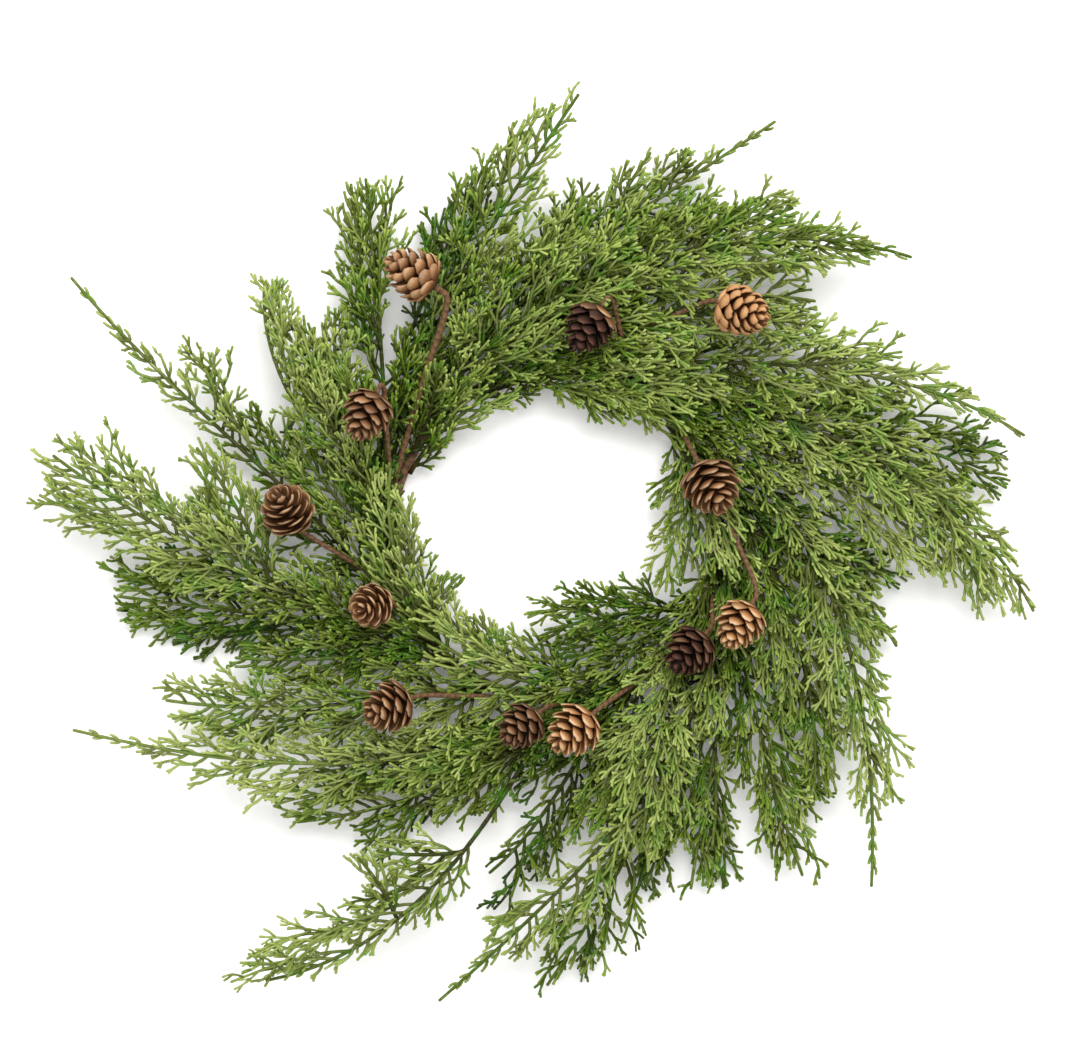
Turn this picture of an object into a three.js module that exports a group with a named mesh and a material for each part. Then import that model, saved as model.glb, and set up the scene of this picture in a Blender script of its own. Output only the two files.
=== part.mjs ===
// A candle ring: a tape-wrapped wire hoop that carries feathery cedar sprays and small larch cones.
//
// Millimetres, +Z up. The ring lies flat on the table at z = 0, and its origin is under the middle
// of the whole arrangement. The sprays leave the hoop along its tangent and swirl clockwise, seen
// from above. Places are given round the hoop: an angle in degrees from +X, counter-clockwise,
// and a distance from the hoop's centre.

import * as THREE from 'three';

// ---------------------------------------------------------------------------------------------
// Driving dimensions

const HOOP_CENTRE = new THREE.Vector3(6, 4.4, 0); // the foliage reaches further to the left and the front
const HOOP_RADIUS = 75; // from its centre to the middle of the wire
const HOOP_THICKNESS = 5.2; // across the wire and its tape
const HOOP_STEPS = 48; // straight stretches round the hoop
const HOOP_SIDES = 8;

const GAP = 0.35; // between pieces that touch on the real ring

const STEM_AT_ROOT = 2.2; // a spray's stem, across its flats
const STEM_AT_TIP = 1.2;
const STEM_KEEPS = 0.65; // of its width, kept clear round the middle of a stem
const STEM_BOW = 0.36; // of its span, for which a stem holds its direction at either end
const STEM_SAG = 2; // how far a stem bows up before it droops to its tip
const BRANCH_PITCH = 8.5; // along the stem, from one side branch to the next
const BRANCH_ANGLE = 40; // between a side branch and the stem ahead of it
const SHORTEST_BRANCH = 0.25; // of a spray's longest
const SPRAY_ROLL = 10; // how far a spray's outer edge hangs below its inner one
const TABLE_CLEARANCE = 0.4; // what lies lowest, apart from the hoop, is this far off the table

const CONE_LENGTH = 1.12; // of a cone's width
const CONE_TIERS = 6; // rows of scales
const CONE_SIDES = 10;
const CONE_FOOT = 0.32; // of its width, across the flat base
const CONE_POINT = 0.1; // of its width, across the last row of scales
const SCALE_LIP = 0.2; // how far a row of scales overhangs the one below, as a share of its radius

const PICK_THICKNESS = 2.2; // a cone's wire pick and its tape
const PICK_HOOK = [185, 75]; // its end lies against the inside of the hoop and hooks over the top
const PICK_TAIL = 12; // degrees round the hoop, from its end to where it leaves
const PICK_LEAD = 6; // its straight end, under the cone
const PICK_SIDES = 5;
const PICK_STEPS = 16;

// ---------------------------------------------------------------------------------------------
// The arrangement
//
// root and wound are where a stem meets the hoop. A spray's tip is [distance, angle], and heads is
// the direction it points there. turn is how far its root heads out from the hoop's tangent.
// rise is its height halfway and at its tip. wide is how long its longest side branches are,
// [outer side, inner side], and full is where along it they grow. A fork is one far longer branch.

const SPRAYS = [
  // Left, from the bottom up
  { root: 277, tip: [231, 202], heads: 166, turn: 18, rise: [24, 34], wide: [13, 10], full: 0.5 },
  { root: 246, tip: [191, 203], heads: 172, turn: 32, rise: [14, 14], wide: [15, 15], full: 0.6 },
  { root: 206, tip: [246, 152], heads: 130, turn: 14, rise: [12, 22], wide: [19, 17], full: 0.4 },
  { root: 231, tip: [200, 188], heads: 172, turn: 16, rise: [8, 8], wide: [23, 22], full: 0.6 },
  { root: 221, tip: [227, 171], heads: 143, turn: 32, rise: [20, 28], wide: [20, 18], full: 0.75,
    fork: { at: 0.38, outer: false, length: 66 } },
  { root: 196, tip: [171, 140], heads: 88, turn: 2, rise: [16, 20], wide: [5, 23], full: 0.6 },
  { root: 190, tip: [137, 142], heads: 88, turn: 8, rise: [22, 20], wide: [14, 18], full: 0.5 },
  { root: 175, tip: [182, 118], heads: 95, turn: 2, rise: [14, 16], wide: [18, 18], full: 0.5 },
  // Top, from the left
  { root: 174, tip: [198, 87], heads: 56, turn: 2, rise: [20, 22], wide: [20, 18], full: 0.6 },
  { root: 181, tip: [170, 101], heads: 66, turn: 2, rise: [10, 10], wide: [17, 18], full: 0.6 },
  { root: 150, tip: [130, 73], heads: 22, turn: 6, rise: [26, 28], wide: [20, 20], full: 0.5 },
  { root: 142, tip: [212, 62], heads: 34, turn: 6, rise: [12, 12], wide: [18, 22], full: 0.4 },
  { root: 118, tip: [202, 38], heads: 342, turn: 20, rise: [28, 26], wide: [20, 17], full: 0.35 },
  { root: 104, tip: [158, 42], heads: 350, turn: 10, rise: [16, 14], wide: [20, 20], full: 0.5 },
  // Right, from the top down
  { root: 86, tip: [216, 12], heads: 328, turn: 2, rise: [22, 18], wide: [14, 20], full: 0.35 },
  { root: 66, tip: [218, 351], heads: 298, turn: 10, rise: [28, 18], wide: [18, 18], full: 0.6 },
  { root: 58, tip: [206, 6], heads: 330, turn: 22, rise: [12, 8], wide: [20, 18], full: 0.6 },
  { root: 50, tip: [176, 356], heads: 312, turn: 6, rise: [20, 16], wide: [18, 18], full: 0.6 },
  { root: 36, tip: [163, 342], heads: 300, turn: 6, rise: [10, 8], wide: [18, 18], full: 0.5 },
  { root: 42, tip: [212, 312], heads: 268, turn: 18, rise: [30, 22], wide: [12, 13], full: 0.5 },
  { root: 22, tip: [168, 314], heads: 266, turn: 12, rise: [18, 14], wide: [18, 20], full: 0.5 },
  // Bottom, from the right
  { root: 350, tip: [190, 306], heads: 290, turn: 26, rise: [16, 14], wide: [16, 16], full: 0.5 },
  { root: 0, tip: [172, 291], heads: 262, turn: 4, rise: [10, 8], wide: [20, 18], full: 0.6 },
  { root: 348, tip: [204, 269], heads: 236, turn: 4, rise: [14, 10], wide: [16, 19], full: 0.6 },
  { root: 355, tip: [216, 256], heads: 222, turn: 4, rise: [22, 14], wide: [12, 12], full: 0.6 },
  { root: 325, tip: [147, 285], heads: 262, turn: 12, rise: [26, 22], wide: [18, 18], full: 0.5 },
  { root: 301, tip: [156, 259], heads: 220, turn: 14, rise: [12, 10], wide: [18, 18], full: 0.6 },
  { root: 270, tip: [235, 237], heads: 190, turn: 60, rise: [26, 38], wide: [8, 20], full: 0.7,
    fork: { at: 0.36, outer: false, length: 58 } },
  { root: 286, tip: [175, 228], heads: 186, turn: 12, rise: [12, 10], wide: [14, 21], full: 0.6 },
  // Short ones along the inside of the hoop
  { root: 288, tip: [74, 214], heads: 140, turn: -8, rise: [14, 16], wide: [12, 19], full: 0.5 },
  { root: 218, tip: [80, 158], heads: 84, turn: -6, rise: [16, 18], wide: [12, 20], full: 0.35 },
  { root: 160, tip: [70, 112], heads: 30, turn: -8, rise: [16, 14], wide: [14, 14], full: 0.5 },
  { root: 116, tip: [76, 50], heads: 320, turn: -4, rise: [14, 12], wide: [14, 18], full: 0.6 },
  { root: 54, tip: [61, 338], heads: 258, turn: -6, rise: [16, 12], wide: [12, 18], full: 0.5 },
  { root: 336, tip: [47, 260], heads: 205, turn: -56, rise: [14, 14], wide: [10, 16], full: 0.45 },
];

// wound is where a cone's pick is twisted onto the hoop. The cone's base is at [distance, angle],
// at a height, and it points along [direction, slope].

const CONES = [
  { wound: 162, base: [123, 116], height: 34, points: [149, 12], width: 23 },
  { wound: 166, base: [101, 142], height: 34, points: [246, 20], width: 21 },
  { wound: 199, base: [117, 177], height: 22, points: [118, 50], width: 21.5 },
  { wound: 209, base: [84, 201], height: 22, points: [200, 60], width: 18.5 },
  { wound: 254, base: [99, 228], height: 30, points: [200, 34], width: 21 },
  { wound: 274, base: [81, 264], height: 24, points: [216, 24], width: 19 },
  { wound: 307, base: [82, 281], height: 31, points: [219, 24], width: 22 },
  { wound: 340, base: [80, 325.6], height: 26, points: [226, 24], width: 20.5 },
  { wound: 24, base: [92, 340], height: 33, points: [238, 20], width: 20.5 },
  { wound: 44, base: [72, 24.6], height: 24, points: [296, 34], width: 23.5 },
  { wound: 88, base: [127, 54], height: 31, points: [336, 36], width: 23 },
  { wound: 60, base: [103, 78.6], height: 35, points: [238, 8], width: 21 },
];

// ---------------------------------------------------------------------------------------------
// Materials

const CEDAR = new THREE.MeshStandardMaterial({ color: 0x4f7d2c, roughness: 0.6, metalness: 0 });
const LARCH = new THREE.MeshStandardMaterial({ color: 0x7a4a2a, roughness: 0.75, metalness: 0 });
const TAPE = new THREE.MeshStandardMaterial({ color: 0x4a3020, roughness: 0.85, metalness: 0 });

// ---------------------------------------------------------------------------------------------
// Directions and places

const UP = new THREE.Vector3(0, 0, 1);
const radians = THREE.MathUtils.degToRad;
const lerp = THREE.MathUtils.lerp;

/** The level direction at an angle, in degrees from +X. */
function heading(degrees) {
  return new THREE.Vector3(Math.cos(radians(degrees)), Math.sin(radians(degrees)), 0);
}

/** A place round the hoop: a distance from its centre, an angle and a height. */
function place(distance, degrees, height) {
  return HOOP_CENTRE.clone().addScaledVector(heading(degrees), distance).setZ(height);
}

/** A place beside the hoop's wire. around is 0 on its outer side, 90 on top and 180 inside. */
function besideHoop(degrees, away, around) {
  const out = Math.cos(radians(around)) * away;
  const up = Math.sin(radians(around)) * away;
  return place(HOOP_RADIUS + out, degrees, HOOP_THICKNESS / 2 + up);
}

// ---------------------------------------------------------------------------------------------
// Clearance: what is already in place, as straight strands with a radius at each end

const strands = [];

/** The nearest two strands come, less their own thickness there. */
function gapBetween(one, other) {
  const d1 = one.to.clone().sub(one.from);
  const d2 = other.to.clone().sub(other.from);
  const r = one.from.clone().sub(other.from);
  const a = d1.dot(d1);
  const e = d2.dot(d2);
  const b = d1.dot(d2);
  const c = d1.dot(r);
  const f = d2.dot(r);
  const spread = a * e - b * b;
  let s = spread > 1e-9 ? THREE.MathUtils.clamp((b * f - c * e) / spread, 0, 1) : 0;
  const t = THREE.MathUtils.clamp((b * s + f) / e, 0, 1);
  s = THREE.MathUtils.clamp((b * t - c) / a, 0, 1);
  const apart = r.addScaledVector(d1, s).addScaledVector(d2, -t).length();
  return apart - lerp(one.thick[0], one.thick[1], s) - lerp(other.thick[0], other.thick[1], t);
}

/** True if a strand keeps its gap to the table and to everything in place, apart from its own spray. */
function isClear(strand, owner) {
  const lowest = Math.min(strand.from.z - strand.thick[0], strand.to.z - strand.thick[1]);
  if (lowest < TABLE_CLEARANCE) {
    return false;
  }
  const reach = Math.max(...strand.thick) + GAP;
  const box = new THREE.Box3().setFromPoints([strand.from, strand.to]).expandByScalar(reach);
  const passes = (other) => !box.intersectsBox(other.box) || gapBetween(strand, other) > GAP;
  return strands.every((other) => (owner && other.owner === owner) || passes(other));
}

/** Puts a strand in place. */
function keep(strand, owner) {
  const reach = Math.max(...strand.thick);
  const box = new THREE.Box3().setFromPoints([strand.from, strand.to]).expandByScalar(reach);
  strands.push({ ...strand, box, owner });
}

/** The strands along a row of points. */
function strandsAlong(points, thickAt) {
  return points.slice(1).map((to, i) => ({
    from: points[i],
    to,
    thick: [thickAt(i / (points.length - 1)), thickAt((i + 1) / (points.length - 1))],
  }));
}

// ---------------------------------------------------------------------------------------------
// The hoop: a ring of octagonal section that rests on its lowest flat

function makeHoop() {
  const corner = HOOP_THICKNESS / 2 / Math.cos(Math.PI / HOOP_SIDES);
  const profile = [];
  for (let i = 0; i <= HOOP_SIDES; i += 1) {
    const turn = ((i + 0.5) / HOOP_SIDES) * 2 * Math.PI;
    const out = HOOP_RADIUS + corner * Math.cos(turn);
    profile.push(new THREE.Vector2(out, corner * Math.sin(turn)));
  }
  const geometry = new THREE.LatheGeometry(profile, HOOP_STEPS);
  geometry.rotateX(Math.PI / 2);
  const hoop = new THREE.Mesh(geometry, TAPE);
  hoop.position.copy(HOOP_CENTRE).setZ(HOOP_THICKNESS / 2);
  hoop.name = 'hoop';

  const round = [];
  for (let i = 0; i <= HOOP_STEPS; i += 1) {
    round.push(besideHoop((i / HOOP_STEPS) * 360, 0, 0));
  }
  strandsAlong(round, () => HOOP_THICKNESS / 2).forEach((strand) => keep(strand));
  return hoop;
}

// ---------------------------------------------------------------------------------------------
// Cones on their picks

/** A cone that stands on its base at the origin and points along +Y, with a lip at each row of scales. */
function coneGeometry(width) {
  const length = width * CONE_LENGTH;
  const belly = (along) => (width / 2) * Math.sin(Math.PI * (0.14 + 0.8 * along) ** 0.82);
  const profile = [new THREE.Vector2(0, 0), new THREE.Vector2((width / 2) * CONE_FOOT, 0)];
  for (let tier = 0; tier < CONE_TIERS; tier += 1) {
    const low = (tier + 0.35) / CONE_TIERS;
    const high = (tier + 1) / CONE_TIERS;
    const lip = Math.max(belly(high), (width / 2) * CONE_POINT);
    profile.push(new THREE.Vector2(belly(low) * (1 - SCALE_LIP), low * length));
    profile.push(new THREE.Vector2(lip, high * length * 0.98));
  }
  profile.push(new THREE.Vector2(0, length));
  return new THREE.LatheGeometry(profile, CONE_SIDES);
}

function makeCone(cone) {
  const mesh = new THREE.Mesh(coneGeometry(cone.width), LARCH);
  mesh.position.copy(cone.foot);
  mesh.quaternion.setFromUnitVectors(new THREE.Vector3(0, 1, 0), cone.axis);
  const length = cone.width * CONE_LENGTH;
  const inner = cone.width / 2;
  keep({
    from: cone.foot.clone().addScaledVector(cone.axis, inner * 0.95),
    to: cone.foot.clone().addScaledVector(cone.axis, length - inner * 0.75),
    thick: [inner, inner * 0.85],
  });
  return mesh;
}

/** A pick's route: along the inside of the hoop, over its top, then out to the foot of its cone. */
function pickRoute(cone) {
  const away = HOOP_THICKNESS / 2 / Math.cos(Math.PI / HOOP_SIDES) + GAP * 1.4 + PICK_THICKNESS / 2;
  const points = [];
  for (const along of [0, 0.25, 0.5, 0.75, 1]) {
    const around = lerp(PICK_HOOK[0], PICK_HOOK[1], along);
    points.push(besideHoop(cone.wound + (1 - along) * PICK_TAIL, away, around));
  }
  const last = points[points.length - 1];
  const end = cone.foot.clone().addScaledVector(cone.axis, -GAP);
  const before = end.clone().addScaledVector(cone.axis, -PICK_LEAD);
  const between = last.clone().lerp(before, 0.5);
  between.z = Math.max(between.z, last.z + 6);
  points.push(between, before, end);
  return new THREE.CatmullRomCurve3(points, false, 'centripetal');
}

function makePick(cone) {
  const route = pickRoute(cone);
  const section = new THREE.Shape();
  for (let i = 0; i < PICK_SIDES; i += 1) {
    const turn = (i / PICK_SIDES) * 2 * Math.PI;
    const x = (PICK_THICKNESS / 2) * Math.cos(turn);
    const y = (PICK_THICKNESS / 2) * Math.sin(turn);
    if (i === 0) {
      section.moveTo(x, y);
    } else {
      section.lineTo(x, y);
    }
  }
  const filled = strandsAlong(route.getSpacedPoints(PICK_STEPS), () => PICK_THICKNESS / 2);
  filled.forEach((strand) => keep(strand));
  const geometry = new THREE.ExtrudeGeometry(section, { steps: PICK_STEPS, extrudePath: route });
  return new THREE.Mesh(geometry, TAPE);
}

// ---------------------------------------------------------------------------------------------
// Cedar sprays

const SEATS = [90, 45, 0, 135, 180]; // sides of the hoop that a root can lie against
const ROOT_SHIFTS = [0, 3, -3, 6, -6, 9, -9, 12, -12]; // degrees round the hoop
const LIFTS = [0, 4, -4, 8, -8, 12, 16, 20, 26, 32]; // of a stem's middle
const SLOPES = [0, 7, -7, 14, -14, 21, -21, 28, -28, 36, -36, 45]; // of a branch, from its spray's plane
const SHORTENINGS = [1, 0.8, 0.62, 0.45, 0.3];

/** The width of a stem at a share of its length. */
function stemWidth(along) {
  return lerp(STEM_AT_ROOT, STEM_AT_TIP, along);
}

/** A stem's route from its seat on the hoop to its tip. */
function sprayRoute(spray, shift, seat, lift) {
  const away = HOOP_THICKNESS / 2 + GAP * 1.2 + STEM_AT_ROOT * STEM_KEEPS;
  const root = spray.root + shift;
  const start = besideHoop(root, away, seat);
  const end = place(spray.tip[0], spray.tip[1], spray.rise[1] + lift * 0.5);
  const reach = start.distanceTo(end);
  const leave = start.clone().addScaledVector(heading(root - 90 + spray.turn), reach * STEM_BOW);
  const arrive = end.clone().addScaledVector(heading(spray.heads), -reach * STEM_BOW);
  const middle = spray.rise[0] + lift;
  leave.z = lerp(start.z, middle, 0.6);
  arrive.z = lerp(middle, end.z, 0.2) + STEM_SAG;
  return new THREE.CubicBezierCurve3(start, leave, arrive, end);
}

/** How long a side branch is, as a share of the spray's longest, at a share of the stem's length. */
function branchShare(along, full) {
  const grow = THREE.MathUtils.smoothstep(along, 0, full);
  const fade = 1 - THREE.MathUtils.smoothstep(along, full, 1.1);
  return lerp(SHORTEST_BRANCH, 1, Math.min(grow, fade));
}

/** The first stem that keeps clear, tried from its drawn place outwards. */
function layStem(spray) {
  for (const lift of LIFTS) {
    for (const shift of ROOT_SHIFTS) {
      for (const seat of SEATS) {
        const route = sprayRoute(spray, shift, seat, lift);
        const steps = Math.round(route.getLength() / BRANCH_PITCH);
        const points = route.getSpacedPoints(steps);
        const stem = strandsAlong(points, (along) => stemWidth(along) * STEM_KEEPS);
        if (stem.every((strand) => isClear(strand))) {
          stem.forEach((strand) => keep(strand, spray));
          return { route, steps, points };
        }
      }
    }
  }
  throw new Error('no clear way for the spray at ' + spray.root);
}

/** The three strands that a side branch fills: from both ends of its foot and from its middle. */
function branchStrands(foot, next, tip, thick) {
  const starts = [foot, foot.clone().lerp(next, 0.5), next];
  return starts.map((start) => ({ from: start.clone().lerp(tip, 0.12), to: tip, thick: [thick * 0.5, 0.1] }));
}

/** A side branch from a stretch of stem, swung up or down and then shortened until it is clear. */
function layBranch(owner, foot, next, forward, sideways, up, length, thick) {
  const ahead = Math.cos(radians(BRANCH_ANGLE));
  const aside = Math.sin(radians(BRANCH_ANGLE));
  for (const share of SHORTENINGS) {
    for (const slope of SLOPES) {
      const side = sideways.clone().multiplyScalar(Math.cos(radians(slope)));
      side.addScaledVector(up, Math.sin(radians(slope)));
      const tip = foot.clone().lerp(next, 0.5);
      tip.addScaledVector(forward, ahead * length * share).addScaledVector(side, aside * length * share);
      const filled = branchStrands(foot, next, tip, thick);
      if (filled.every((strand) => isClear(strand, owner))) {
        filled.forEach((strand) => keep(strand, owner));
        return tip;
      }
    }
  }
  return null;
}

/** True if the side branch on this stretch of stem is the spray's fork. */
function forks(spray, stretch, steps, isOuter) {
  if (!spray.fork || spray.fork.outer !== isOuter) {
    return false;
  }
  return Math.abs(stretch - spray.fork.at * steps) < 1;
}

/** A closed solid: a square stem with pointed side branches drawn out of its side faces. */
function sprayGeometry(rings, stemTip, branches) {
  const points = rings.flat();
  const faces = [];
  const last = (rings.length - 1) * 4;
  const fan = (corners, apex) => {
    corners.forEach((corner, i) => faces.push(corner, corners[(i + 1) % corners.length], apex));
  };
  faces.push(0, 3, 2, 0, 2, 1);
  for (let ring = 0; ring < rings.length - 1; ring += 1) {
    for (let side = 0; side < 4; side += 1) {
      const a = ring * 4 + side;
      const b = ring * 4 + ((side + 1) % 4);
      const branch = branches[ring];
      if (branch && branch.side === side) {
        points.push(branch.tip);
        fan([a, b, b + 4, a + 4], points.length - 1);
      } else {
        faces.push(a, b, b + 4, a, b + 4, a + 4);
      }
    }
  }
  points.push(stemTip);
  fan([last, last + 1, last + 2, last + 3], points.length - 1);
  const geometry = new THREE.BufferGeometry().setFromPoints(points);
  geometry.setIndex(faces);
  geometry.computeVertexNormals();
  return geometry;
}

const OUTER_FACE = 3; // the stem's side faces, in the order of a ring's corners
const INNER_FACE = 1;

function makeSpray(spray, { route, steps, points }) {
  const rings = [];
  const frames = [];
  for (let i = 0; i < steps; i += 1) {
    const along = i / steps;
    const forward = route.getTangentAt(along);
    const outward = new THREE.Vector3().crossVectors(UP, forward).normalize();
    outward.applyAxisAngle(forward, -radians(SPRAY_ROLL));
    const up = new THREE.Vector3().crossVectors(forward, outward).normalize();
    const half = stemWidth(along) / 2;
    const corner = (out, high) =>
      points[i].clone().addScaledVector(outward, out * half).addScaledVector(up, high * half);
    rings.push([corner(1, 1), corner(-1, 1), corner(-1, -1), corner(1, -1)]);
    frames.push({ forward, outward, up });
  }
  const branches = [];
  for (let i = 1; i < steps; i += 1) {
    const along = (i + 0.5) / steps;
    const isOuter = i % 2 === 0;
    const { forward, outward, up } = frames[i];
    const sideways = outward.clone().multiplyScalar(isOuter ? 1 : -1);
    const reach = spray.wide[isOuter ? 0 : 1] * branchShare(along, spray.full);
    const isFork = forks(spray, i, steps, isOuter);
    const length = isFork ? spray.fork.length : reach / Math.sin(radians(BRANCH_ANGLE));
    const edge = stemWidth(along) / 2;
    const foot = points[i].clone().addScaledVector(sideways, edge);
    const next = points[i + 1].clone().addScaledVector(sideways, edge);
    const tip = layBranch(spray, foot, next, forward, sideways, up, length, stemWidth(along));
    if (tip) {
      branches[i] = { side: isOuter ? OUTER_FACE : INNER_FACE, tip };
    }
  }
  return new THREE.Mesh(sprayGeometry(rings, points[steps], branches), CEDAR);
}

// ---------------------------------------------------------------------------------------------
// Assembly: the hoop, the cones on their picks, then the sprays in the order they are laid

const ring = new THREE.Group();
ring.add(makeHoop());

CONES.forEach((cone, i) => {
  const number = String(i + 1).padStart(2, '0');
  cone.foot = place(cone.base[0], cone.base[1], cone.height);
  cone.axis = heading(cone.points[0]).multiplyScalar(Math.cos(radians(cone.points[1])));
  cone.axis.z = Math.sin(radians(cone.points[1]));
  const mesh = makeCone(cone);
  mesh.name = 'larch_cone_' + number;
  const pick = makePick(cone);
  pick.name = 'cone_pick_' + number;
  ring.add(mesh, pick);
});

const stems = SPRAYS.map(layStem);
SPRAYS.forEach((spray, i) => {
  const mesh = makeSpray(spray, stems[i]);
  mesh.name = 'cedar_spray_' + String(i + 1).padStart(2, '0');
  ring.add(mesh);
});

export default ring;
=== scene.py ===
# %% [markdown]
# A candle ring: cedar sprays and small larch cones, bound to a hoop of taped wire. It lies on a
# table round a pillar candle, and all its sprays swirl the same way.
#
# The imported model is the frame: the hoop, 12 cones on 12 wire picks, and 35 sprays, all as plain
# solids. Each step reads where those are from their own meshes and builds the detailed pieces
# that are shown in their place.

# %% Load the frame
import math
from collections import namedtuple

import bpy
import numpy as np
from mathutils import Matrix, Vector


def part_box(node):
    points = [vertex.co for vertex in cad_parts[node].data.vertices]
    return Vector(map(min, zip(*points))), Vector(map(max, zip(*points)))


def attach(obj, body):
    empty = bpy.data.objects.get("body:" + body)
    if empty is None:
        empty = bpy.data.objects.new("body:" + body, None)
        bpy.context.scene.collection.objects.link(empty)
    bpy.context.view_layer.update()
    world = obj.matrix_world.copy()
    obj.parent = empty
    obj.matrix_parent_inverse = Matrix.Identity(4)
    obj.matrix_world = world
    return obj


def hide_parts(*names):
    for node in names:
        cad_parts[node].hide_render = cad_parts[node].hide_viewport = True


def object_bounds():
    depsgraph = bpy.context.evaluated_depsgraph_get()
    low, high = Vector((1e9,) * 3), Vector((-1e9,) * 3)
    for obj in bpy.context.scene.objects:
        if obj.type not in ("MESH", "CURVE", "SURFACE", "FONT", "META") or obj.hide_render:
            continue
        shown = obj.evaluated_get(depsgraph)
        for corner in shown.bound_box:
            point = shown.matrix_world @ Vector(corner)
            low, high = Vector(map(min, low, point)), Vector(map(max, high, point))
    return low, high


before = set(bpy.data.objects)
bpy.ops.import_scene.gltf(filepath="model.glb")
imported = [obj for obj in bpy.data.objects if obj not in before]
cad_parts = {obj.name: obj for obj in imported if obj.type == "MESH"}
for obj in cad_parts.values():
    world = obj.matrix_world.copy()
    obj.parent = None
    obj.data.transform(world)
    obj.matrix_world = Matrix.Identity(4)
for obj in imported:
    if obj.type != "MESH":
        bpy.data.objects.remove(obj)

cad_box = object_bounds()
chance = np.random.default_rng(20)
MM = 0.001
print(len(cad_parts), "solids in a box of",
      [round(float(side) / MM) for side in cad_box[1] - cad_box[0]], "mm")

# %% [markdown]
# ## Camera, light and table
# The ring is looked at from straight above. A long lens from 1.2 m keeps the perspective low, as
# for a product shot. An orthographic camera would have none at all and make raised tips look flat.

# %% Camera
EYE_HEIGHT, EYE_OFFSET = 1.2, (-0.8 * MM, 7.1 * MM)
LENS = 87.5


def placed(name, data):
    """A new object that holds this data, put in the scene."""
    thing = bpy.data.objects.new(name, data)
    bpy.context.scene.collection.objects.link(thing)
    return thing


eye = bpy.data.cameras.new("overhead_camera")
eye.lens = LENS
camera = placed("overhead_camera", eye)
low, high = cad_box
camera.location = ((low.x + high.x) / 2 + EYE_OFFSET[0], (low.y + high.y) / 2 + EYE_OFFSET[1],
                   EYE_HEIGHT)
bpy.context.scene.camera = camera
bpy.context.scene.view_settings.view_transform = "Standard"
print("camera at", [round(x, 4) for x in camera.location], "with a", LENS, "mm lens")

# %% [markdown]
# One big softbox beyond the far edge of the ring throws soft shadows towards the viewer, and a
# white sky fills them. A small lamp would draw every needle on the table as a hard line.

# %% Softbox and sky
KEY_PLACE = Vector((0.15, 0.75, 1.1))
KEY_SIDE, KEY_POWER = 0.9, 15
lamp = bpy.data.lights.new("key_softbox", "AREA")
lamp.shape = "SQUARE"
lamp.size = KEY_SIDE
lamp.energy = KEY_POWER
softbox = placed("key_softbox", lamp)
softbox.location = KEY_PLACE
softbox.rotation_euler = (-KEY_PLACE).to_track_quat("-Z", "Y").to_euler()
sky = bpy.data.worlds.new("white_studio")
sky.use_nodes = True
air = sky.node_tree.nodes["Background"]
air.inputs["Color"].default_value = (1.0, 1.0, 1.0, 1)
bpy.context.scene.world = sky
print("softbox of", KEY_POWER, "W, sky of strength", air.inputs["Strength"].default_value)

# %% [markdown]
# ## A short way to write materials
# A material is a net of nodes. Laid out by hand, a sum of three terms is two Math nodes and four
# links. With the two classes below it is a line of Python: a Socket is one node's output, and its
# operators add the Math nodes. Math would turn colours grey, so blend() mixes those.

# %% Colours
def paint(code):
    """A colour in six hex digits, as the linear values that a shader wants."""
    parts = [int(code[i:i + 2], 16) / 255 for i in (1, 3, 5)]
    return (*(p / 12.92 if p <= 0.04045 else ((p + 0.055) / 1.055) ** 2.4 for p in parts), 1.0)


def ramp_of(*stops):
    """Stops of a colour ramp, each a place from 0 to 1 and a colour."""
    return {"stops": [(place, paint(code)) for place, code in stops]}


# %% Sockets that add up
class Socket:
    """What a node gives. An expression on it adds Math nodes to the same finish."""

    def __init__(self, finish, output):
        self.finish, self.output = finish, output

    def math(self, operation, *values, clamp=False):
        settings = {"operation": operation, "use_clamp": clamp}
        return self.finish.add("Math", settings, dict(enumerate(values)))

    def __add__(self, other):
        return self.math("ADD", self, other)

    def __sub__(self, other):
        return self.math("SUBTRACT", self, other)

    def __rsub__(self, other):
        return self.math("SUBTRACT", other, self)

    def __mul__(self, other):
        return self.math("MULTIPLY", self, other)

    __radd__, __rmul__ = __add__, __mul__

    def held(self):
        """The value, kept between 0 and 1."""
        return self.math("ADD", self, 0.0, clamp=True)


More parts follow.
